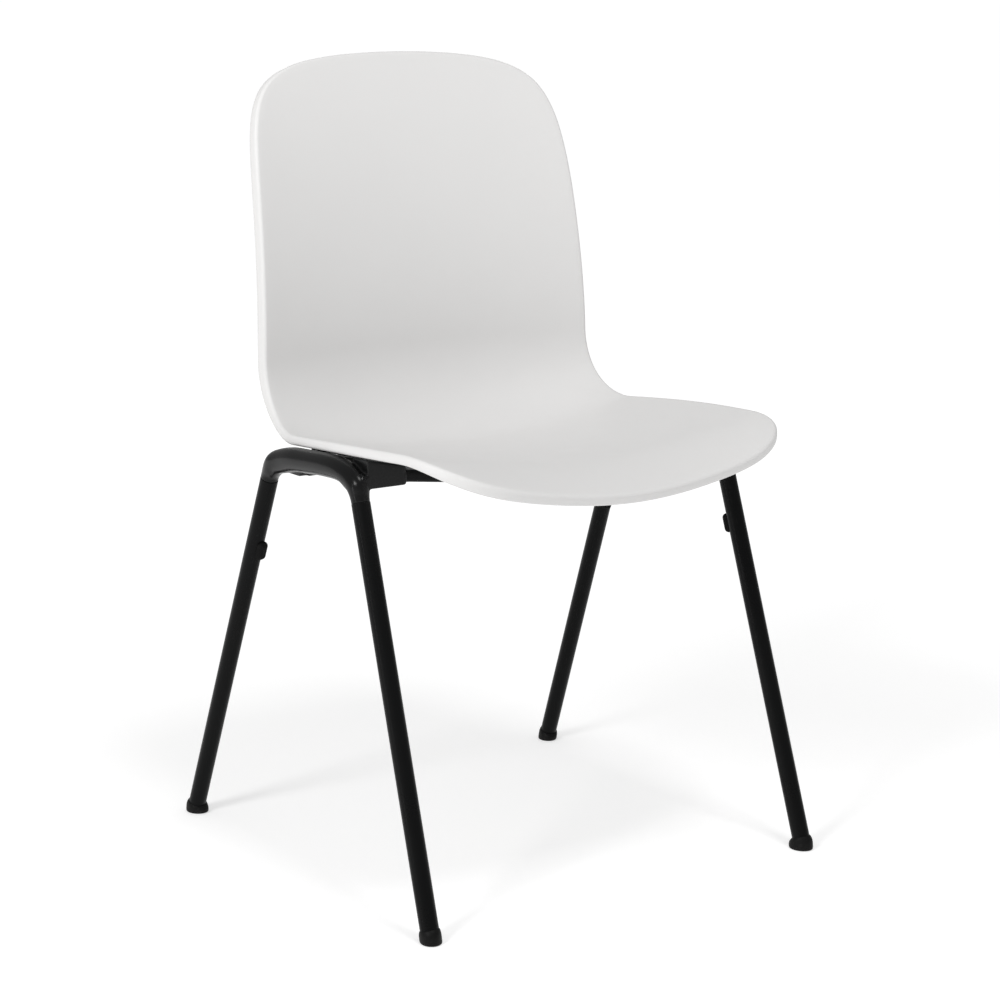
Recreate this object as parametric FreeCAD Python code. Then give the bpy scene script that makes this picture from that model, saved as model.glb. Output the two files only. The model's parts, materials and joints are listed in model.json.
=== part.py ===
import FreeCAD, Part

import math
import os

Vector = FreeCAD.Vector

# Stacking chair, millimetres. X runs across the chair (the sitter's right is -X), the front is -Y,
# +Z is up, and the origin is on the floor at the middle of the four feet.

# Shell centre line, as seen from the side: a rounded front edge, a straight seat, the bend, a curved back.
shell_front_y = -253.0
shell_front_z = 421.9
front_edge_slope = 25.3
front_edge_radius = 187.0
seat_fall = 3.5
seat_straight = 204.5
bend_radius = 95.7
back_start_angle = 89.9
back_radius = 1033.0
back_length = 320.0

# Shell bow across its width: rise above the centre line at the reference half width.
bow_half_width = 210.0
seat_bow = 25.2
top_bow = 13.1
bow_change_start = 430.0

# Shell outline, half of it: distance from the middle, and distance along the centre line from the front.
shell_outline = [
    (0.0, -5.0),
    (116.9, 4.8),
    (181.6, 22.8),
    (207.4, 45.3),
    (221.9, 98.1),
    (227.1, 193.7),
    (221.9, 288.9),
    (212.2, 374.9),
    (208.1, 471.9),
    (203.1, 586.9),
    (197.5, 664.6),
    (190.2, 702.2),
    (173.3, 734.3),
    (148.0, 752.6),
    (105.4, 765.3),
    (55.1, 771.2),
    (0.0, 773.1),
]

# Shell thickness: full at the front lip, slim over the brackets, full again in the back.
lip_thickness = 13.0
side_thickness = 10.0
back_thickness = 13.6
lip_taper = (10.0, 90.0)
back_taper = (330.0, 450.0)
shell_edge_round = 3.6

sheet_step = 18.0
sheet_margin = 24.0
outline_samples = 72

# Legs: round tube, with its axis given at the floor and at one height above.
tube_radius = 9.5
tube_wall = 1.5
leg_gauge_z = 400.0
front_foot = (236.9, -240.05)
front_gauge = (228.6, -106.8)
rear_foot = (241.6, 240.05)
rear_gauge = (228.0, 81.6)
seam_z = {"front": 410.0, "rear": 404.0}
foot_length = 13.5

# Spigots of the side brackets, pinned inside the tubes.
spigot_radius = tube_radius - tube_wall - 0.05
spigot_length = 38.0
spigot_chamfer = 1.0
pin_radius = 1.5
pin_length = 11.0
pin_below_seam = 16.0

# Side bracket: stations along its run from the front seam to the rear seam.
# Each has the centre (y, z), the run's angle from +Y, the half depth and the half width.
bracket_x = 228.0
bracket_stations = [
    (-100.1, 419.5, 73.0, 10.5, 10.4),
    (-98.1, 424.1, 64.0, 11.9, 11.0),
    (-90.3, 430.3, 38.5, 12.6, 11.2),
    (-76.0, 435.9, 7.0, 11.6, 11.5),
    (-48.8, 438.2, 1.0, 12.2, 12.0),
    (0.0, 435.2, -2.5, 12.4, 12.0),
    (30.0, 432.0, -7.0, 12.9, 11.8),
    (51.8, 427.2, -22.0, 13.0, 11.5),
    (65.6, 421.9, -43.5, 12.6, 11.8),
    (72.4, 415.0, -60.0, 11.0, 10.8),
]
shell_clearance = 1.3

# Crossbars: flat oval tube that dips under the seat, its ends held in sleeves of the brackets.
bar_width = 26.0
bar_height = 12.0
bar_wall = 1.5
bar_corner = 4.0
bar_end_x = 219.0
bar_knee_x = 173.0
bar_knee_radius = 60.0
bar_slope = 7.0
bar_middle_x = 62.0
front_bar_y = -93.0
front_bar_z = 430.8
rear_bar_y = 28.0
rear_bar_z = 424.3
bar_clearance = 0.1
sleeve_wall = 1.7
sleeve_mouth_x = 177.0
sleeve_root_x = 228.0
shoulder_from_x = {"front": 177.0, "rear": 205.0}
shoulder_to_x = {"front": 222.0, "rear": 219.0}
shoulder_height = {"front": 32.0, "rear": 20.0}
shoulder_round = 4.0
grub_radius = 2.5
grub_x = 196.0
grub_socket = 1.3

# Fixings of the shell, at four places on the crossbars.
fixing_x = 110.0
pad_radius = 8.8
insert_radius = 4.4
insert_length = 8.5
screw_radius = 3.0
screw_hole_radius = 3.3
screw_head_radius = 5.2
screw_head_height = 3.3
screw_reach = 7.0
screw_socket = 2.0
screw_socket_depth = 2.0
washer_radius = 7.5
washer_thickness = 1.2

# Rubber strips between the brackets and the shell's edges.
strip_from_y = -62.0
strip_to_y = 2.0
strip_from_x = 214.0
strip_to_x = 222.0

# Feet: plastic caps with a plug in the tube, and a glide let into each base.
cap_top_radius = 10.1
cap_base_length = 13.6
cap_base_width = 11.0
cap_base_shift = 3.0
cap_base_z = 0.4
cap_profile = [(0.0, 0.72), (0.06, 0.93), (0.16, 1.0), (0.48, 0.98), (0.68, 0.84), (0.84, 0.5), (1.0, 0.0)]
plug_radius = tube_radius - tube_wall - 0.05
plug_length = 22.0
plug_bore_radius = 4.5
glide_radius = 8.0
glide_thickness = 2.4

# Stacking bumpers on the inner side of each leg.
bumper_length = 21.0
bumper_width = 12.0
bumper_reach = 15.0
bumper_round = 4.6
bumper_stem_radius = 2.4
bumper_hole_radius = 2.5
bumper_barb_radius = 3.3
front_bumper_z = 340.0
rear_bumper_z = 326.8
bumper_angle = 72.0

sides = {"right": -1.0, "left": 1.0}


def arc_step(y, z, angle, radius, turn):
    """Point and angle after an arc that turns by the given degrees, positive to the left."""
    a = math.radians(angle)
    b = math.radians(angle + turn)
    s = radius if turn > 0 else -radius
    return y + s * (math.sin(b) - math.sin(a)), z - s * (math.cos(b) - math.cos(a)), angle + turn


def centre_line(v):
    """Point (y, z) and angle in degrees of the shell's centre line, a distance v from the front."""
    spans = [
        (front_edge_radius, -(front_edge_slope + seat_fall)),
        (None, seat_straight),
        (bend_radius, back_start_angle + seat_fall),
        (back_radius, -math.degrees(back_length / back_radius)),
    ]
    y = shell_front_y
    z = shell_front_z
    angle = front_edge_slope
    if v < 0.0:
        a = math.radians(angle)
        return y + v * math.cos(a), z + v * math.sin(a), angle
    left = v
    for radius, turn in spans:
        length = turn if radius is None else radius * math.radians(abs(turn))
        part = min(1.0, left / length)
        if radius is None:
            a = math.radians(angle)
            y = y + part * length * math.cos(a)
            z = z + part * length * math.sin(a)
        else:
            y, z, angle = arc_step(y, z, angle, radius, turn * part)
        left = left - part * length
        if left <= 0.0:
            return y, z, angle
    a = math.radians(angle)
    return y + left * math.cos(a), z + left * math.sin(a), angle


def ease(t):
    """Smooth step from 0 to 1."""
    t = min(1.0, max(0.0, t))
    return t * t * (3.0 - 2.0 * t)


def bow(v):
    """Rise of the shell above its centre line at the reference half width."""
    u = min(1.0, max(0.0, (v - bow_change_start) / (shell_outline[-1][1] - bow_change_start)))
    return seat_bow + (top_bow - seat_bow) * u * u


def shell_thickness(v):
    """Thickness of the shell, a distance v from the front."""
    lip = 1.0 - ease((v - lip_taper[0]) / (lip_taper[1] - lip_taper[0]))
    back = ease((v - back_taper[0]) / (back_taper[1] - back_taper[0]))
    added = (lip_thickness - side_thickness) * lip + (back_thickness - side_thickness) * back
    return side_thickness + added


def shell_point(x, v):
    """Point on the shell's sitting surface."""
    y, z, angle = centre_line(v)
    a = math.radians(angle)
    rise = bow(v) * (x / bow_half_width) ** 2
    return Vector(x, y - rise * math.sin(a), z + rise * math.cos(a))


def shell_normal(x, v):
    """Unit normal of the sitting surface, towards the sitter."""
    across = shell_point(x + 1.0, v) - shell_point(x - 1.0, v)
    along = shell_point(x, v + 1.0) - shell_point(x, v - 1.0)
    normal = across.cross(along)
    normal.normalize()
    return normal


def knot_line(low, high, step):
    """Even knots from low to high, and the places where a cubic spline's poles belong."""
    count = max(4, int(round((high - low) / step)))
    knots = [low + (high - low) * i / count for i in range(count + 1)]
    full = [low] * 3 + knots + [high] * 3
    poles = [sum(full[i + 1:i + 4]) / 3.0 for i in range(len(full) - 4)]
    mults = [4] + [1] * (count - 1) + [4]
    return knots, mults, poles


def shell_sheet(share, offset):
    """Spline sheet below the sitting surface by a share of the thickness and an offset."""
    half = max(x for x, v in shell_outline) + sheet_margin
    x_knots, x_mults, x_poles = knot_line(-half, half, sheet_step)
    v_knots, v_mults, v_poles = knot_line(-sheet_margin, shell_outline[-1][1] + sheet_margin, sheet_step)
    poles = [
        [shell_point(x, v) - shell_normal(x, v) * (share * shell_thickness(v) + offset) for v in v_poles]
        for x in x_poles
    ]
    sheet = Part.BSplineSurface()
    sheet.buildFromPolesMultsKnots(poles, x_mults, v_mults, x_knots, v_knots, False, False, 3, 3)
    return sheet


def flat_loop(points):
    """Smooth closed curve through flat points: the middle one of three rounds."""
    rounds = points * 3 + points[:1]
    lengths = [0.0]
    for here, following in zip(rounds, rounds[1:]):
        lengths.append(lengths[-1] + math.dist(here, following))
    curve = Part.Geom2d.BSplineCurve2d()
    curve.interpolate([FreeCAD.Base.Vector2d(x, v) for x, v in rounds], Parameters=lengths)
    curve.segment(lengths[len(points)], lengths[2 * len(points)])
    return curve


def outline_curve(grow):
    """Outline in x and distance from the front, moved outwards by the given distance."""
    mirrored = [(-x, v) for x, v in reversed(shell_outline[1:-1])]
    base = flat_loop(shell_outline + mirrored)
    points = []
    for i in range(outline_samples):
        t = base.FirstParameter + (base.LastParameter - base.FirstParameter) * i / outline_samples
        place = base.value(t)
        along = base.tangent(t)
        points.append((place.x + grow * along.y, place.y - grow * along.x))
    return flat_loop(points)


def shell_body(top, bottom, grow, edge_round):
    """Closed body between two depths, each a share of the thickness and an offset, with rounded edges."""
    sections = [(top[0], top[1], grow), (bottom[0], bottom[1], grow)]
    if edge_round > 0.0:
        corner = edge_round * (1.0 - math.sqrt(0.5))
        sections = [
            (top[0], top[1], grow - edge_round),
            (top[0], top[1] + corner, grow - corner),
            (top[0], top[1] + edge_round, grow),
            (bottom[0], bottom[1] - edge_round, grow),
            (bottom[0], bottom[1] - corner, grow - corner),
            (bottom[0], bottom[1], grow - edge_round),
        ]
    sheets = [shell_sheet(share, offset) for share, offset, out in sections]
    outlines = [outline_curve(out) for share, offset, out in sections]
    wires = [Part.Wire([outline.toShape(sheet)]) for outline, sheet in zip(outlines, sheets)]
    faces = [Part.Face(sheets[0], wires[0]), Part.Face(sheets[-1], wires[-1])]
    band = Part.makeLoft(wires, False, True)
    shell = Part.makeShell(faces + band.Faces)
    shell.sewShape()
    return Part.makeSolid(shell)


def cylinder(radius, start, direction, length):
    """Round bar from a point along a direction."""
    return Part.makeCylinder(radius, length, start, direction)


def oval(centre, first, normal, first_radius, second_radius):
    """Closed oval wire square to its normal, with its longer radius along the first direction."""
    curve = Part.Circle()
    if first_radius > second_radius:
        curve = Part.Ellipse(Vector(0.0, 0.0, 0.0), first_radius, second_radius)
    else:
        curve.Radius = first_radius
    edge = curve.toShape()
    second = normal.cross(first)
    edge.Placement = FreeCAD.Placement(centre, FreeCAD.Rotation(first, second, normal, "ZXY"))
    return Part.Wire(edge)


def rounded_rectangle(x, y, z, width, height, corner):
    """Closed wire with rounded corners, square to X, centred at a point."""
    tuck = corner * (1.0 - math.sqrt(0.5))
    edges = []
    for i in range(4):
        turn = FreeCAD.Rotation(Vector(0.0, 0.0, 1.0), 90.0 * i)
        w = width if i % 2 == 0 else height
        h = height if i % 2 == 0 else width
        start = Vector(-w / 2.0 + corner, -h / 2.0, 0.0)
        end = Vector(w / 2.0 - corner, -h / 2.0, 0.0)
        middle = Vector(w / 2.0 - tuck, -h / 2.0 + tuck, 0.0)
        last = Vector(w / 2.0, -h / 2.0 + corner, 0.0)
        edges.append(Part.makeLine(turn.multVec(start), turn.multVec(end)))
        edges.append(Part.Arc(turn.multVec(end), turn.multVec(middle), turn.multVec(last)).toShape())
    wire = Part.Wire(edges)
    wire.Placement = FreeCAD.Placement(
        Vector(x, y, z),
        FreeCAD.Rotation(Vector(0.0, 1.0, 0.0), Vector(0.0, 0.0, 1.0), Vector(1.0, 0.0, 0.0), "ZXY"),
    )
    return wire


def leg_direction(side, end):
    """Upward direction of the leg's axis."""
    foot = front_foot if end == "front" else rear_foot
    gauge = front_gauge if end == "front" else rear_gauge
    direction = Vector(sides[side] * (gauge[0] - foot[0]), gauge[1] - foot[1], leg_gauge_z)
    direction.normalize()
    return direction


def leg_point(side, end, z):
    """Point of the leg's axis at a height."""
    foot = front_foot if end == "front" else rear_foot
    direction = leg_direction(side, end)
    return Vector(sides[side] * foot[0], foot[1], 0.0) + direction * (z / direction.z)


def foot_seam(side, end):
    """Point of the leg's axis where the tube ends and the foot cap starts."""
    return leg_point(side, end, 0.0) + leg_direction(side, end) * foot_length


def inward(side, end, angle):
    """Direction square to the leg, turned towards the inside of the chair and the other leg of the side."""
    direction = leg_direction(side, end)
    a = math.radians(angle)
    along = 1.0 if end == "front" else -1.0
    flat = Vector(-sides[side] * math.cos(a), along * math.sin(a), 0.0)
    square = flat - direction * flat.dot(direction)
    square.normalize()
    return square


def bumper_z(end):
    """Height of the middle of a leg's bumper."""
    return front_bumper_z if end == "front" else rear_bumper_z


def leg_tube(side, end):
    """Leg: round tube from the foot cap to the bracket, drilled for its bumper and its pin."""
    direction = leg_direction(side, end)
    foot = foot_seam(side, end)
    length = (leg_point(side, end, seam_z[end]) - foot).Length
    middle = leg_point(side, end, bumper_z(end))
    hole = cylinder(bumper_hole_radius, middle, inward(side, end, bumper_angle), 12.0)
    tube = cylinder(tube_radius, foot, direction, length)
    tube = tube.cut(cylinder(tube_radius - tube_wall, foot, direction, length))
    return tube.cut([hole, pin_bar(side, end, pin_length)])


def pin_bar(side, end, length):
    """Round bar where the leg's pin goes, from the tube's inner flank inwards."""
    middle = leg_point(side, end, seam_z[end]) - leg_direction(side, end) * pin_below_seam
    flank = inward(side, end, 0.0)
    return cylinder(pin_radius, middle + flank * tube_radius, flank * -1.0, length)


def leg_pins():
    """Pins that hold the spigots in the legs."""
    pins = []
    for side in sides:
        for end in ("front", "rear"):
            pins.append(pin_bar(side, end, pin_length - 0.5))
    return Part.makeCompound(pins)


def foot_cap(side, end):
    """Foot: cap that spreads inwards, with a flat base at the floor and a hollow plug in the tube."""
    direction = leg_direction(side, end)
    seam = foot_seam(side, end)
    way = inward(side, end, bumper_angle)
    upright = Vector(0.0, 0.0, 1.0)
    base = leg_point(side, end, 0.0) + Vector(way.x, way.y, 0.0) * cap_base_shift + upright * cap_base_z
    rings = []
    for height, spread in cap_profile:
        normal = upright * (1.0 - height) + direction * height
        normal.normalize()
        first = way - normal * way.dot(normal)
        first.normalize()
        centre = base * (1.0 - height) + seam * height
        length = cap_top_radius + (cap_base_length - cap_top_radius) * spread
        width = cap_top_radius + (cap_base_width - cap_top_radius) * spread
        rings.append(oval(centre, first, normal, length, width))
    cap = Part.makeLoft(rings, True, True)
    cap = cap.fuse(cylinder(plug_radius, seam - direction, direction, plug_length + 1.0))
    cap = cap.cut(cylinder(plug_bore_radius, seam + direction * 2.0, direction, plug_length))
    return cap.cut(glide_disc(side, end))


def glide_disc(side, end):
    """Glide: harder disc let into the cap's base, flat on the floor."""
    way = inward(side, end, bumper_angle)
    centre = leg_point(side, end, 0.0) + Vector(way.x, way.y, 0.0) * (cap_base_shift / 2.0)
    return cylinder(glide_radius, centre, Vector(0.0, 0.0, 1.0), glide_thickness)


def stacking_bumper(side, end):
    """Bumper: rounded pad against the tube, with a barbed stem through its wall."""
    direction = leg_direction(side, end)
    way = inward(side, end, bumper_angle)
    across = direction.cross(way)
    corner = Vector(0.0, -bumper_width / 2.0, -bumper_length / 2.0)
    pad = Part.makeBox(bumper_reach, bumper_width, bumper_length, corner)
    pad = pad.makeFillet(bumper_round, [edge for edge in pad.Edges if edge.CenterOfMass.x > 1.0])
    bottom = Vector(0.0, 0.0, -bumper_length / 2.0 - 1.0)
    pad = pad.cut(Part.makeCylinder(tube_radius, bumper_length + 2.0, bottom))
    ahead = Vector(1.0, 0.0, 0.0)
    wall = tube_radius - tube_wall
    stem = cylinder(bumper_stem_radius, ahead * (wall - 1.5), ahead, tube_wall + 3.5)
    tip = ahead * (wall - 2.9)
    barb = Part.makeCone(bumper_stem_radius - 0.4, bumper_barb_radius, 2.2, tip, ahead)
    bumper = pad.fuse(stem).fuse(barb)
    middle = leg_point(side, end, bumper_z(end))
    bumper.Placement = FreeCAD.Placement(middle, FreeCAD.Rotation(way, across, direction, "ZXY"))
    return bumper


def bar_line(x):
    """Height of a crossbar's middle line above its ends, a distance x from the middle of the chair."""
    slope = math.radians(bar_slope)
    rest = bar_knee_x - bar_middle_x
    if abs(x) >= bar_knee_x:
        return 0.0
    if abs(x) >= bar_middle_x:
        return -(bar_knee_x - abs(x)) * math.tan(slope)
    radius = bar_middle_x / math.sin(slope)
    return -rest * math.tan(slope) - math.sqrt(radius * radius - x * x) + radius * math.cos(slope)


def bar_path(reach):
    """Path of a crossbar in the XZ plane: level ends, straight falls and a curved middle."""
    slope = math.radians(bar_slope)
    setback = bar_knee_radius * math.tan(slope / 2.0)
    ease = setback * math.cos(slope)
    sag = setback * math.sin(slope)
    half = []
    for s in (-1.0, 1.0):
        end = Vector(s * reach, 0.0, 0.0)
        knee_out = Vector(s * (bar_knee_x + setback), 0.0, 0.0)
        knee_in = Vector(s * (bar_knee_x - ease), 0.0, -sag)
        bend = Vector(s * (bar_knee_x + setback - bar_knee_radius * math.sin(slope / 2.0)), 0.0,
                      -bar_knee_radius * (1.0 - math.cos(slope / 2.0)))
        fall_end = Vector(s * bar_middle_x, 0.0, bar_line(bar_middle_x))
        half.append([
            Part.makeLine(end, knee_out),
            Part.Arc(knee_out, bend, knee_in).toShape(),
            Part.makeLine(knee_in, fall_end),
        ])
    middle = Part.Arc(
        Vector(-bar_middle_x, 0.0, bar_line(bar_middle_x)),
        Vector(0.0, 0.0, bar_line(0.0)),
        Vector(bar_middle_x, 0.0, bar_line(bar_middle_x)),
    ).toShape()
    return Part.Wire(half[0] + [middle] + list(reversed(half[1])))


def bar_sweep(reach, shrink):
    """Crossbar section, shrunk all round, swept along the crossbar's path."""
    path = bar_path(reach)
    section = rounded_rectangle(
        -reach, 0.0, 0.0, bar_width - 2.0 * shrink, bar_height - 2.0 * shrink, bar_corner - shrink
    )
    return path.makePipeShell([section], True, True)


def bar_place(end):
    """Place (y, z) of a crossbar's ends."""
    return (front_bar_y, front_bar_z) if end == "front" else (rear_bar_y, rear_bar_z)


def crossbar(end):
    """Crossbar: bent oval tube, drilled for the shell's screws and the grub screws."""
    y, z = bar_place(end)
    bar = bar_sweep(bar_end_x, 0.0).cut(bar_sweep(bar_end_x + 1.0, bar_wall))
    bar.translate(Vector(0.0, y, z))
    for s in sides.values():
        start, up = fixing_frame(s, end)
        bar = bar.cut(cylinder(screw_hole_radius, start - up * 10.0, up, 40.0))
        bar = bar.cut(grub_bar(s, end))
    return bar


def grub_bar(s, end):
    """Round bar where a grub screw goes up through the sleeve into the crossbar."""
    y, z = bar_place(end)
    bottom = Vector(s * grub_x, y, z - bar_height / 2.0 - sleeve_wall)
    return cylinder(grub_radius, bottom, Vector(0.0, 0.0, 1.0), sleeve_wall + bar_wall)


def grub_screws():
    """Grub screws with a hexagon socket, flush with the sleeves."""
    screws = []
    for end in ("front", "rear"):
        for s in sides.values():
            screw = grub_bar(s, end)
            screws.append(screw.cut(hexagon(grub_socket, screw.CenterOfMass - Vector(0.0, 0.0, 5.0), 5.0)))
    return Part.makeCompound(screws)


def hexagon(flat, start, length):
    """Upright hexagonal bar, given half the distance across its flats."""
    corner = flat / math.cos(math.radians(30.0))
    points = []
    for i in range(7):
        a = math.radians(60.0 * i)
        points.append(start + Vector(corner * math.cos(a), corner * math.sin(a), 0.0))
    return Part.Face(Part.makePolygon(points)).extrude(Vector(0.0, 0.0, length))


def seam_rings(side, end):
    """Two rings at the top of a leg, where a bracket starts out as thick as the tube."""
    direction = leg_direction(side, end)
    seam = leg_point(side, end, seam_z[end])
    wide = Vector(1.0, 0.0, 0.0)
    along = direction if end == "front" else direction * -1.0
    up = wide.cross(along)
    return [oval(seam + direction * rise, up, along, tube_radius, tube_radius) for rise in (0.0, 4.0)]


def bracket_run(side):
    """Round-shouldered run of a side bracket, from one leg over to the other."""
    middle = []
    for y, z, angle, depth, width in bracket_stations:
        a = math.radians(angle)
        along = Vector(0.0, math.cos(a), math.sin(a))
        up = Vector(0.0, -math.sin(a), math.cos(a))
        middle.append(oval(Vector(sides[side] * bracket_x, y, z), up, along, depth, width))
    sections = seam_rings(side, "front") + middle + list(reversed(seam_rings(side, "rear")))
    return Part.makeLoft(sections, True, False)


def bracket_sleeve(side, end):
    """Sleeve for a crossbar's end, with the shoulder that joins it to the run."""
    s = sides[side]
    y, z = bar_place(end)
    width = bar_width + 2.0 * sleeve_wall
    height = bar_height + 2.0 * sleeve_wall
    section = rounded_rectangle(s * sleeve_mouth_x, y, z, width, height, bar_corner + sleeve_wall)
    sleeve = Part.Face(section).extrude(Vector(s * (sleeve_root_x - sleeve_mouth_x), 0.0, 0.0))
    inner = shoulder_from_x[end]
    outer = shoulder_to_x[end]
    low = Vector(min(s * inner, s * outer), y - width / 2.0, z - height / 2.0)
    shoulder = Part.makeBox(outer - inner, width, shoulder_height[end], low)
    upright = [edge for edge in shoulder.Edges if edge.BoundBox.ZLength > shoulder_height[end] - 1.0]
    near = [edge for edge in upright if abs(edge.CenterOfMass.x) < inner + 1.0]
    return sleeve.fuse(shoulder.makeFillet(shoulder_round, near))


def bar_pocket(side, end):
    """Space for a crossbar's end in its sleeve."""
    s = sides[side]
    y, z = bar_place(end)
    grown = 2.0 * bar_clearance
    section = rounded_rectangle(
        s * (sleeve_mouth_x - 5.0), y, z, bar_width + grown, bar_height + grown, bar_corner + bar_clearance
    )
    return Part.Face(section).extrude(Vector(s * (bar_end_x - sleeve_mouth_x + 5.5), 0.0, 0.0))


def spigot(side, end):
    """Spigot of a bracket, inside the top of a leg."""
    direction = leg_direction(side, end)
    top = leg_point(side, end, seam_z[end]) + direction
    bar = cylinder(spigot_radius, top, direction * -1.0, spigot_length + 1.0)
    return bar.makeChamfer(spigot_chamfer, [min(bar.Edges, key=lambda edge: edge.BoundBox.ZMax)])


def side_bracket(side):
    """Side bracket: one casting with the run, two spigots and two crossbar sleeves, shaped to the shell."""
    bracket = bracket_run(side)
    for end in ("front", "rear"):
        bracket = bracket.fuse([bracket_sleeve(side, end), spigot(side, end)])
    bracket = bracket.cut(shell_body((0.0, -30.0), (1.0, shell_clearance), shell_clearance, 0.0))
    for end in ("front", "rear"):
        pin = pin_bar(side, end, pin_length)
        bracket = bracket.cut([bar_pocket(side, end), pin, grub_bar(sides[side], end)])
    return bracket


def fixing_frame(s, end):
    """Place on a crossbar's middle line where the shell is fixed, and the direction square to it."""
    y, z = bar_place(end)
    slope = math.radians(bar_slope)
    place = Vector(s * fixing_x, y, z + bar_line(fixing_x))
    return place, Vector(-s * math.sin(slope), 0.0, math.cos(slope))


def fixings(shell):
    """Each place where the shell is fixed: the place, the upward direction and the gap under the shell."""
    found = []
    for end in ("front", "rear"):
        for s in sides.values():
            place, up = fixing_frame(s, end)
            top = place + up * (bar_height / 2.0)
            found.append((place, up, shell.distToShape(Part.Vertex(top))[0]))
    return found


def insert_bar(fixing, radius):
    """Round bar from a crossbar's top to the top of the insert in the shell."""
    place, up, gap = fixing
    return cylinder(radius, place + up * (bar_height / 2.0), up, gap + insert_length)


def seat_shell(shell, places):
    """Shell, bored for its inserts."""
    return shell.cut([insert_bar(fixing, insert_radius) for fixing in places])


def shell_inserts(shell, places):
    """Threaded inserts in the shell."""
    inserts = []
    for fixing in places:
        insert = insert_bar(fixing, insert_radius).common(shell)
        inserts.append(insert.cut(insert_bar(fixing, screw_radius)))
    return Part.makeCompound(inserts)


def shell_pads(shell, places):
    """Rubber pads between the crossbars and the shell."""
    pads = []
    for fixing in places:
        pad = insert_bar(fixing, pad_radius).cut(shell)
        pads.append(pad.cut(insert_bar(fixing, screw_hole_radius)))
    return Part.makeCompound(pads)


def shell_washers(places):
    """Washers under the crossbars."""
    washers = []
    for place, up, gap in places:
        start = place - up * (bar_height / 2.0 + washer_thickness)
        washer = cylinder(washer_radius, start, up, washer_thickness)
        washers.append(washer.cut(cylinder(screw_hole_radius, start, up, washer_thickness)))
    return Part.makeCompound(washers)


def shell_screws(places):
    """Pan head screws, from below the crossbars into the inserts."""
    screws = []
    for place, up, gap in places:
        seat = place - up * (bar_height / 2.0 + washer_thickness)
        shank = cylinder(screw_radius, seat, up, washer_thickness + bar_height + gap + screw_reach)
        head = cylinder(screw_head_radius, seat - up * screw_head_height, up, screw_head_height)
        head = head.makeFillet(1.2, [min(head.Edges, key=lambda edge: edge.CenterOfMass.z)])
        socket = cylinder(screw_socket, seat - up * screw_head_height, up, screw_socket_depth)
        screws.append(shank.fuse(head).cut(socket))
    return Part.makeCompound(screws)


def edge_strip(side):
    """Rubber strip between a bracket and the shell's edge."""
    s = sides[side]
    low = Vector(min(s * strip_from_x, s * strip_to_x), strip_from_y, shell_front_z)
    block = Part.makeBox(strip_to_x - strip_from_x, strip_to_y - strip_from_y, 40.0, low)
    return block.common(shell_body((1.0, 0.0), (1.0, shell_clearance), 2.0, 0.0))


def build():
    """All pieces of the chair by name."""
    shell = shell_body((0.0, 0.0), (1.0, 0.0), 0.0, shell_edge_round)
    places = fixings(shell)
    pieces = {
        "seat_shell": seat_shell(shell, places),
        "shell_inserts": shell_inserts(shell, places),
        "shell_pads": shell_pads(shell, places),
        "shell_screws": shell_screws(places),
        "shell_washers": shell_washers(places),
        "crossbar_front": crossbar("front"),
        "crossbar_rear": crossbar("rear"),
        "crossbar_grub_screws": grub_screws(),
        "leg_pins": leg_pins(),
    }
    for side in sides:
        pieces["side_bracket_" + side] = side_bracket(side)
        pieces["edge_strip_" + side] = edge_strip(side)
        for end in ("front", "rear"):
            name = "_" + end + "_" + side
            pieces["leg" + name] = leg_tube(side, end)
            pieces["foot_cap" + name] = foot_cap(side, end)
            pieces["foot_glide" + name] = glide_disc(side, end)
            pieces["bumper" + name] = stacking_bumper(side, end)
    return pieces


if __name__ == "__main__":
    os.makedirs("parts", exist_ok=True)
    for name, shape in build().items():
        shape.exportStep("parts/" + name + ".step")
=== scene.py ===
import json
import math

import bpy
import numpy as np
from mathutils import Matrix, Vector


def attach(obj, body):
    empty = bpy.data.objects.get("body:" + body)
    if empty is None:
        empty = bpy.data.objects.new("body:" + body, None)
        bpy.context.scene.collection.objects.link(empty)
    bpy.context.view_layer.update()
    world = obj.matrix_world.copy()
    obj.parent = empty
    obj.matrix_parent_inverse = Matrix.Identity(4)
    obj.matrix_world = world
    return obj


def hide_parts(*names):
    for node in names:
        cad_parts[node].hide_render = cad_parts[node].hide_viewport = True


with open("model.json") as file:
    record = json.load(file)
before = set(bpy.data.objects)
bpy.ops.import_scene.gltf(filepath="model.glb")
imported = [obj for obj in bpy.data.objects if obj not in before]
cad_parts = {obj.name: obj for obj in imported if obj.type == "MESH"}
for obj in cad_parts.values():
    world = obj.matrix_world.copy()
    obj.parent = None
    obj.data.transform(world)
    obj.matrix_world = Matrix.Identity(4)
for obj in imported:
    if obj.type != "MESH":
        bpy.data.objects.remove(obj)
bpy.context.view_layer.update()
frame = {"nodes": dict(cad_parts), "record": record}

nodes = frame["nodes"]
mm = 0.001
print("frame loaded:", len(nodes), "nodes")


# camera
view = {
    "place": (-1.4579, -2.1380, 0.9093),
    "turn": -34.4284,  # degrees about Z
    "drop": 11.8084,  # degrees below level
    "lens": 89.26,
}


def placeCamera():
    data = bpy.data.cameras.new("camera")
    data.lens = view["lens"]
    data.sensor_width = 36.0
    camera = bpy.data.objects.new("camera", data)
    camera.location = view["place"]
    camera.rotation_euler = (math.radians(90.0 - view["drop"]), 0.0, math.radians(view["turn"]))
    bpy.context.scene.collection.objects.link(camera)
    bpy.context.scene.camera = camera


placeCamera()
print("camera placed")


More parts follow.
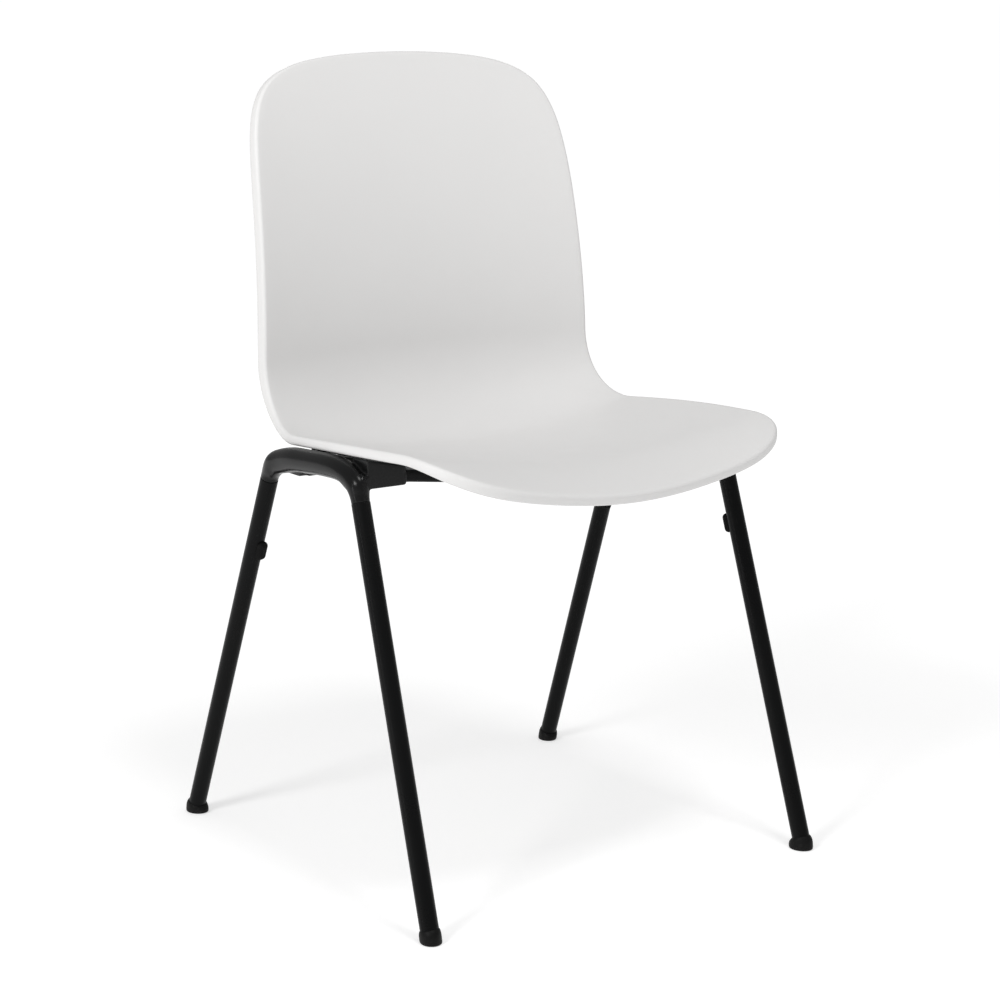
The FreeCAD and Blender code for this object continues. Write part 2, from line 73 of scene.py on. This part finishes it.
# light: soft boxes from the right and from above, and a low strip for the gloss of the legs
studio = {
    "skyStrength": 0.42,
    "lamps": (
        # name, place, width, height and watts
        ("sideSoftbox", (-2.9, -1.0, 2.3), 0.8, 0.8, 55.0),
        ("frontSoftbox", (0.0, -1.0, 3.1), 0.7, 0.7, 28.0),
        ("sideStrip", (-2.6, 0.1, 0.6), 0.2, 1.2, 4.0),
    ),
    "aim": (0.0, 0.0, 0.45),  # middle of the seat
}


def lightStudio():
    world = bpy.data.worlds.new("studio")
    bpy.context.scene.world = world
    world.use_nodes = True
    background = world.node_tree.nodes["Background"]
    background.inputs["Color"].default_value = (1.0, 1.0, 1.0, 1.0)
    background.inputs["Strength"].default_value = studio["skyStrength"]
    bpy.context.scene.view_settings.view_transform = "Standard"
    for name, place, width, height, power in studio["lamps"]:
        data = bpy.data.lights.new(name, "AREA")
        data.shape = "RECTANGLE"
        data.size = width
        data.size_y = height
        data.energy = power
        lamp = bpy.data.objects.new(name, data)
        lamp.location = place
        way = Vector(studio["aim"]) - Vector(place)
        lamp.rotation_euler = way.to_track_quat("-Z", "Y").to_euler()
        bpy.context.scene.collection.objects.link(lamp)


lightStudio()
print("studio lit")


# shader sums: a socket that takes +, - and *
class Field:
    def __init__(self, paint, socket):
        self.paint = paint
        self.socket = socket

    def math(self, operation, first, second):
        return self.paint.add("ShaderNodeMath", {"operation": operation}, {0: first, 1: second})

    def __add__(self, other):
        return self.math("ADD", self, other)

    __radd__ = __add__

    def __sub__(self, other):
        return self.math("SUBTRACT", self, other)

    def __rsub__(self, other):
        return self.math("SUBTRACT", other, self)

    def __mul__(self, other):
        return self.math("MULTIPLY", self, other)

    __rmul__ = __mul__


# one procedural material and its nodes
class Paint:
    def __init__(self, name):
        self.material = bpy.data.materials.new(name)
        self.material.use_nodes = True
        self.tree = self.material.node_tree
        self.surface = self.tree.nodes["Principled BSDF"]
        self.place = self.add("ShaderNodeTexCoord", out="Object")

    def feed(self, socket, value):
        if isinstance(value, Field):
            self.tree.links.new(value.socket, socket)
        else:
            socket.default_value = value

    def add(self, kind, settings=None, inputs=None, out=0):
        node = self.tree.nodes.new(kind)
        for key, value in (settings or {}).items():
            setattr(node, key, value)
        for key, value in (inputs or {}).items():
            self.feed(node.inputs[key], value)
        return Field(self, node.outputs[out])

    def set(self, **values):
        for key, value in values.items():
            self.feed(self.surface.inputs[key.replace("_", " ")], value)

    def noise(self, scale, detail=2.0, rough=0.5, place=None):
        return self.add("ShaderNodeTexNoise", None, {
            "Vector": place or self.place, "Scale": scale, "Detail": detail, "Roughness": rough})

    def stretched(self, stretch, scale, detail=2.0):
        place = self.add("ShaderNodeMapping", None, {"Vector": self.place, "Scale": stretch})
        return self.noise(scale, detail, 0.5, place)

    def spread(self, field, low, high, outLow=0.0, outHigh=1.0):
        return self.add("ShaderNodeMapRange", {"clamp": True}, {
            "Value": field, "From Min": low, "From Max": high, "To Min": outLow, "To Max": outHigh})

    def blend(self, factor, first, second):
        return self.add("ShaderNodeMix", {"data_type": "RGBA"}, {0: factor, 6: first, 7: second}, out=2)

    def bump(self, height, strength, distance):
        return self.add("ShaderNodeBump", None, {
            "Height": height, "Strength": strength, "Distance": distance})


def tone(value, warmth=0.0):
    return (value * (1.0 + warmth), value, value * (1.0 - warmth), 1.0)


# materials: tones are linear, from 0 black to 1 white
finish = {
    "shellTone": 0.67,
    "shellWarmth": 0.008,
    "shellRough": 0.52,
    "castTone": 0.005,
    "castRough": 0.2,
    "castShine": 0.16,
    "tubeTone": 0.004,
    "tubeRough": 0.26,
    "tubeShine": 0.08,
    "barTone": 0.004,
    "barRough": 0.3,
    "barShine": 0.08,
    "rubberTone": 0.005,
    "footTone": 0.005,
    "glideTone": 0.05,
}


# moulded plastic: fine grain, a slight peel, and a little more gloss where hands have been
def shellPlastic():
    paint = Paint("shellPlastic")
    cloud = paint.noise(7.0, 3.0)
    speck = paint.noise(900.0, 2.0)
    grain = paint.noise(2600.0, 2.0, 0.6)
    peel = paint.noise(620.0, 1.0)
    handled = paint.spread(paint.noise(16.0, 4.0, 0.6), 0.52, 0.7)
    base = finish["shellTone"]
    warm = finish["shellWarmth"]
    soft = paint.blend(cloud, tone(base * 0.985, warm), tone(base * 1.015, warm))
    paint.set(
        Base_Color=paint.blend(paint.spread(speck, 0.62, 0.75, 0.0, 0.25), soft, tone(base * 0.93, warm)),
        Roughness=finish["shellRough"] + grain * 0.1 - handled * 0.08,
        Normal=paint.bump(grain + peel * 0.6, 0.28, 0.2 * mm),
        Specular_IOR_Level=0.42,
    )
    return paint.material


# black powder coat: orange peel with a fine grain, rubbed smoother in places
def powderCoat(name, kind, peelScale):
    base = finish[kind + "Tone"]
    paint = Paint(name)
    peel = paint.noise(peelScale, 2.0)
    fine = paint.noise(peelScale * 4.0, 2.0, 0.6)
    rubbed = paint.spread(paint.noise(11.0, 4.0, 0.65), 0.5, 0.74)
    paint.set(
        Base_Color=paint.blend(fine, tone(base * 0.8, -0.03), tone(base * 1.25, -0.03)),
        Roughness=finish[kind + "Rough"] + peel * 0.08 - rubbed * 0.06,
        Normal=paint.bump(peel + fine * 0.35, 0.3, 0.2 * mm),
        Specular_IOR_Level=finish[kind + "Shine"],
    )
    return paint.material


# matt rubber with a little dust
def mattRubber():
    paint = Paint("mattRubber")
    grain = paint.noise(1500.0, 3.0, 0.6)
    dust = paint.spread(paint.noise(120.0, 4.0, 0.6), 0.56, 0.75)
    base = finish["rubberTone"]
    paint.set(
        Base_Color=paint.blend(dust * 0.5, tone(base), tone(base * 2.4, 0.05)),
        Roughness=0.66 + grain * 0.14,
        Normal=paint.bump(grain, 0.35, 0.15 * mm),
        Specular_IOR_Level=0.08,
    )
    return paint.material


# foot plastic, scuffed near the floor
def footPlastic():
    paint = Paint("footPlastic")
    height = paint.add("ShaderNodeSeparateXYZ", None, {0: paint.place}, out="Z")
    low = paint.spread(height, 1.0 * mm, 11.0 * mm, 1.0, 0.0)
    scuff = paint.spread(paint.stretched((1.0, 1.0, 5.0), 260.0, 4.0), 0.5, 0.66) * low
    grain = paint.noise(1700.0, 2.0, 0.6)
    base = finish["footTone"]
    paint.set(
        Base_Color=paint.blend(scuff * 0.6, tone(base), tone(base * 6.0, 0.04)),
        Roughness=0.44 + grain * 0.1 + scuff * 0.25,
        Normal=paint.bump(grain - scuff * 0.8, 0.3, 0.2 * mm),
        Specular_IOR_Level=0.1,
    )
    return paint.material


# glide plastic, scratched along its travel
def glidePlastic():
    paint = Paint("glidePlastic")
    scratch = paint.spread(paint.stretched((1.0, 9.0, 1.0), 420.0, 3.0), 0.52, 0.68)
    dirt = paint.noise(90.0, 4.0, 0.6)
    base = finish["glideTone"]
    paint.set(
        Base_Color=paint.blend(scratch * 0.6 + dirt * 0.2, tone(base), tone(base * 2.2, 0.04)),
        Roughness=0.5 + scratch * 0.3,
        Normal=paint.bump(0.0 - scratch, 0.4, 0.2 * mm),
    )
    return paint.material


# zinc plated steel with a faint spangle
def zincSteel():
    paint = Paint("zincSteel")
    spangle = paint.add("ShaderNodeTexVoronoi", None, {"Vector": paint.place, "Scale": 700.0}, out="Color")
    level = paint.add("ShaderNodeSeparateColor", None, {0: spangle})
    turned = paint.noise(2200.0, 2.0)
    paint.set(
        Base_Color=paint.blend(level, tone(0.52, 0.01), tone(0.66, 0.02)),
        Metallic=1.0,
        Roughness=0.26 + level * 0.1 + turned * 0.08,
        Normal=paint.bump(turned, 0.2, 0.1 * mm),
    )
    return paint.material


# brass with the rings of the lathe
def turnedBrass():
    paint = Paint("turnedBrass")
    rings = paint.stretched((1.0, 1.0, 14.0), 380.0)
    paint.set(
        Base_Color=paint.blend(rings, (0.62, 0.45, 0.2, 1.0), (0.8, 0.62, 0.32, 1.0)),
        Metallic=1.0,
        Roughness=0.24 + rings * 0.14,
        Normal=paint.bump(rings, 0.3, 0.1 * mm),
    )
    return paint.material


materials = {
    "shell_white": shellPlastic(),
    "casting_black": powderCoat("castingCoat", "cast", 420.0),
    "tube_black": powderCoat("tubeCoat", "tube", 520.0),
    "steel_black": powderCoat("barCoat", "bar", 500.0),
    "foot_black": footPlastic(),
    "glide_grey": glidePlastic(),
    "bumper_black": mattRubber(),
    "zinc_steel": zincSteel(),
    "brass_insert": turnedBrass(),
}
materials["rubber_black"] = materials["bumper_black"]
print("materials made:", len(materials))


def paintNodes():
    for part in frame["record"]["subparts"]:
        mesh = nodes[part["node"]].data
        mesh.materials.clear()
        mesh.materials.append(materials[part["material_slot"]])


paintNodes()
print("frame painted")


# floor: white paper that glows a little, less so under the chair, where the shadows stay
floor = {
    "size": 400.0,
    "tone": 0.62,
    "nearGlow": 0.52,
    "farGlow": 0.76,
    "glowChange": (0.45, 2.2),  # metres from the middle of the chair
}


def layFloor():
    bpy.ops.object.select_all(action="DESELECT")
    bpy.ops.mesh.primitive_plane_add(size=floor["size"], location=(0.0, 0.0, 0.0))
    paper = bpy.context.object
    paper.name = "studioFloor"
    paint = Paint("paleFloor")
    cloud = paint.noise(0.6, 2.0)
    base = floor["tone"]
    away = paint.add("ShaderNodeVectorMath", {"operation": "LENGTH"}, {0: paint.place}, out="Value")
    change = paint.spread(away, *floor["glowChange"])
    glow = paint.blend(change, tone(floor["nearGlow"]), tone(floor["farGlow"]))
    paint.set(
        Base_Color=paint.blend(cloud, tone(base * 0.995), tone(base * 1.005)),
        Roughness=0.95,
        Specular_IOR_Level=0.0,
        Emission_Color=glow,
        Emission_Strength=1.0,
    )
    paper.data.materials.append(paint.material)


layFloor()
print("floor laid")


# shell, in millimetres and degrees: x is across, v is along the middle line from its front
shell = {
    "frontY": -253.0,
    "frontZ": 421.9,
    "frontSlope": 25.3,
    "frontRadius": 187.0,
    "seatFall": 3.5,
    "seatStraight": 204.5,
    "bendRadius": 95.7,
    "backAngle": 89.9,
    "backRadius": 1033.0,
    "bowHalfWidth": 210.0,
    "seatBow": 25.2,
    "topBow": 13.1,
    "bowChange": 430.0,
    "lipThickness": 13.0,
    "sideThickness": 10.0,
    "backThickness": 13.6,
    "lipTaper": (10.0, 90.0),
    "backTaper": (330.0, 450.0),
    "edgeRound": 3.6,
    "cellsAcross": 96,
    "cellsAlong": 150,
    "edgeCuts": 11,  # rings between the two faces
    "roundShare": 0.42,  # share of the rings that each rounding takes
    "boardCentre": (0.0, 385.0),
    "lineMargin": (-40.0, 830.5),
    "lineStep": 0.5,
    "outline": (
        (0.0, -5.0), (116.9, 4.8), (181.6, 22.8), (207.4, 45.3), (221.9, 98.1), (227.1, 193.7),
        (221.9, 288.9), (212.2, 374.9), (208.1, 471.9), (203.1, 586.9), (197.5, 664.6), (190.2, 702.2),
        (173.3, 734.3), (148.0, 752.6), (105.4, 765.3), (55.1, 771.2), (0.0, 773.1),
    ),
    "frontCorner": 2.6,  # place along the outline, counted in its points, of the board's front corner
    "backCorner": 12.0,
}


# v, y, z and angle of the middle line, at small steps
def middleLine():
    front = math.radians(shell["frontSlope"])
    seat = -math.radians(shell["seatFall"])
    back = math.radians(shell["backAngle"])
    step = shell["lineStep"]
    first, last = shell["lineMargin"]
    v = np.arange(first, last + step, step)
    arcEnd = shell["frontRadius"] * (front - seat)
    seatEnd = arcEnd + shell["seatStraight"]
    bendEnd = seatEnd + shell["bendRadius"] * (back - seat)
    angle = np.where(v < 0.0, front, front - v / shell["frontRadius"])
    angle = np.where(v > arcEnd, seat, angle)
    angle = np.where(v > seatEnd, seat + (v - seatEnd) / shell["bendRadius"], angle)
    angle = np.where(v > bendEnd, back - (v - bendEnd) / shell["backRadius"], angle)
    across = np.cos(angle)
    upward = np.sin(angle)
    y = np.concatenate([[0.0], np.cumsum((across[1:] + across[:-1]) / 2.0 * step)])
    z = np.concatenate([[0.0], np.cumsum((upward[1:] + upward[:-1]) / 2.0 * step)])
    start = int(round(-first / step))
    return v, y - y[start] + shell["frontY"], z - z[start] + shell["frontZ"], angle


lineV, lineY, lineZ, lineAngle = middleLine()


# slow start and stop between 0 and 1
def ease(value):
    t = np.clip(value, 0.0, 1.0)
    return t * t * (3.0 - 2.0 * t)


# point of the sitting surface, which bows up towards its sides
def sittingPoint(x, v):
    angle = np.interp(v, lineV, lineAngle)
    t = np.clip((v - shell["bowChange"]) / (shell["outline"][-1][1] - shell["bowChange"]), 0.0, 1.0)
    bow = shell["seatBow"] + (shell["topBow"] - shell["seatBow"]) * t * t
    rise = bow * (x / shell["bowHalfWidth"]) ** 2
    y = np.interp(v, lineV, lineY) - rise * np.sin(angle)
    z = np.interp(v, lineV, lineZ) + rise * np.cos(angle)
    return np.stack([x, y, z], -1)


def unit(vectors):
    return vectors / np.linalg.norm(vectors, axis=-1, keepdims=True)


def thickness(v):
    lip = 1.0 - ease((v - shell["lipTaper"][0]) / (shell["lipTaper"][1] - shell["lipTaper"][0]))
    back = ease((v - shell["backTaper"][0]) / (shell["backTaper"][1] - shell["backTaper"][0]))
    side = shell["sideThickness"]
    return side + (shell["lipThickness"] - side) * lip + (shell["backThickness"] - side) * back


# smooth closed curve through the points: a cubic in each span, with even bends where the spans meet
def closedSpline(points):
    loop = np.array(points)
    count = len(loop)
    span = np.linalg.norm(np.roll(loop, -1, 0) - loop, axis=1)
    before = np.roll(span, 1)
    system = np.zeros((count, count))
    turns = np.zeros((count, 2))
    for i in range(count):
        system[i, i - 1] = before[i]
        system[i, i] = 2.0 * (before[i] + span[i])
        system[i, (i + 1) % count] = span[i]
        ahead = (loop[(i + 1) % count] - loop[i]) / span[i]
        behind = (loop[i] - loop[i - 1]) / before[i]
        turns[i] = 6.0 * (ahead - behind)
    bend = np.linalg.solve(system, turns)

    def at(place):
        i = np.floor(place).astype(int) % count
        j = (i + 1) % count
        t = (place - np.floor(place))[:, None]
        h = span[i][:, None]
        s = 1.0 - t
        curve = ((s ** 3 - s) * bend[i] + (t ** 3 - t) * bend[j]) * h * h / 6.0
        return s * loop[i] + t * loop[j] + curve
    return at


# point and outward direction of the outline, for places (a, b) on the flat board
def outlineAt(a, b):
    half = list(shell["outline"])
    mirrored = [(-x, v) for x, v in reversed(half[1:-1])]
    curve = closedSpline(half + mirrored)
    count = len(half) + len(mirrored)
    top = len(half) - 1
    front = shell["frontCorner"]
    back = shell["backCorner"]
    # along the board's edge from the middle of the front, over one side, to the middle of the back
    reach = np.maximum(np.abs(a), np.abs(b))
    side = np.abs(a) / np.maximum(reach, 1e-9)
    along = b / np.maximum(reach, 1e-9)
    onFront = along < -1.0 + 1e-6
    onBack = along > 1.0 - 1e-6
    place = front + (along + 1.0) / 2.0 * (back - front)
    place = np.where(onFront, side * front, place)
    place = np.where(onBack, top - side * (top - back), place)
    place = np.where(a < 0.0, count - place, place)
    point = curve(place)
    tangent = unit(curve(place + 0.002) - curve(place - 0.002))
    return point, np.stack([tangent[:, 1], -tangent[:, 0]], -1)


# two grids bridged along their edge make a flat board, which is then bent to the chair's shape
def shellBody():
    bpy.ops.object.select_all(action="DESELECT")
    bpy.ops.mesh.primitive_grid_add(
        x_subdivisions=shell["cellsAcross"], y_subdivisions=shell["cellsAlong"],
        size=2.0, location=(0.0, 0.0, 0.0))
    board = bpy.context.object
    board.name = "shellBody"
    bpy.ops.object.mode_set(mode="EDIT")
    bpy.ops.mesh.select_all(action="SELECT")
    bpy.ops.mesh.duplicate_move(TRANSFORM_OT_translate={"value": (0.0, 0.0, -1.0)})
    bpy.ops.mesh.flip_normals()
    bpy.ops.mesh.select_all(action="SELECT")
    bpy.ops.mesh.region_to_loop()
    bpy.ops.mesh.bridge_edge_loops(number_cuts=shell["edgeCuts"], interpolation="LINEAR")
    bpy.ops.object.mode_set(mode="OBJECT")

    mesh = board.data
    flat = np.zeros(len(mesh.vertices) * 3)
    mesh.vertices.foreach_get("co", flat)
    flat = flat.reshape(-1, 3)
    a, b, depth = flat[:, 0], flat[:, 1], -flat[:, 2]
    rim, outward = outlineAt(a, b)
    reach = np.maximum(np.abs(a), np.abs(b))[:, None]
    # the rings run down a quarter round, the flat of the edge and a second quarter round
    share = shell["roundShare"]
    upperTurn = np.radians(np.clip(depth / share, 0.0, 1.0) * 90.0)
    lowerTurn = np.radians(np.clip((1.0 - depth) / share, 0.0, 1.0) * 90.0)
    rounding = shell["edgeRound"]
    inside = rounding * (1.0 - np.sin(np.minimum(upperTurn, lowerTurn)))
    rim = rim - outward * inside[:, None]
    centre = np.array(shell["boardCentre"])
    place = centre + (rim - centre) * reach
    x, v = place[:, 0], place[:, 1]
    upperFall = rounding * (1.0 - np.cos(upperTurn))
    lowerFall = rounding * np.cos(lowerTurn)
    level = np.clip((depth - share) / (1.0 - 2.0 * share), 0.0, 1.0)
    drop = upperFall + level * (thickness(v) - 2.0 * rounding) + lowerFall * (level > 0.999)
    surface = sittingPoint(x, v)
    across = sittingPoint(x + 1.0, v) - sittingPoint(x - 1.0, v)
    along = sittingPoint(x, v + 1.0) - sittingPoint(x, v - 1.0)
    normal = unit(np.cross(across, along))
    bent = (surface - normal * drop[:, None]) * mm
    mesh.vertices.foreach_set("co", bent.ravel())
    mesh.update()

    bpy.ops.object.mode_set(mode="EDIT")
    bpy.ops.mesh.select_all(action="SELECT")
    bpy.ops.mesh.normals_make_consistent(inside=False)
    bpy.ops.object.mode_set(mode="OBJECT")
    bpy.ops.object.shade_smooth()
    mesh.materials.append(materials["shell_white"])
    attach(board, "root")
    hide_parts("seat_shell")


shellBody()
print("shell made")


# cast and moulded pieces: the plain solid is merged, remade as one skin and softened like a casting
softened = {
    "side_bracket": {"cell": 0.9 * mm, "passes": 7, "slot": "casting_black", "name": "bracket"},
    "foot_cap": {"cell": 0.5 * mm, "passes": 6, "slot": "foot_black", "name": "footCap"},
    "bumper": {"cell": 0.4 * mm, "passes": 8, "slot": "bumper_black", "name": "bumper"},
}


def soften(node, name, values):
    piece = bpy.data.objects.new(name, nodes[node].data.copy())
    bpy.context.scene.collection.objects.link(piece)
    bpy.ops.object.select_all(action="DESELECT")
    piece.select_set(True)
    bpy.context.view_layer.objects.active = piece
    bpy.ops.object.mode_set(mode="EDIT")
    bpy.ops.mesh.select_all(action="SELECT")
    bpy.ops.mesh.remove_doubles(threshold=0.01 * mm)
    bpy.ops.mesh.normals_make_consistent(inside=False)
    bpy.ops.object.mode_set(mode="OBJECT")
    skin = piece.modifiers.new("skin", "REMESH")
    skin.mode = "VOXEL"
    skin.voxel_size = values["cell"]
    bpy.ops.object.modifier_apply(modifier=skin.name)
    soft = piece.modifiers.new("soft", "SMOOTH")
    soft.factor = 0.5
    soft.iterations = values["passes"]
    bpy.ops.object.modifier_apply(modifier=soft.name)
    bpy.ops.object.shade_smooth()
    piece.data.materials.clear()
    piece.data.materials.append(materials[values["slot"]])
    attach(piece, "root")
    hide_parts(node)


for kind, values in softened.items():
    for node in sorted(nodes):
        if node.startswith(kind + "_"):
            words = node[len(kind):].split("_")
            soften(node, values["name"] + "".join(word.capitalize() for word in words), values)
    print("softened:", kind)
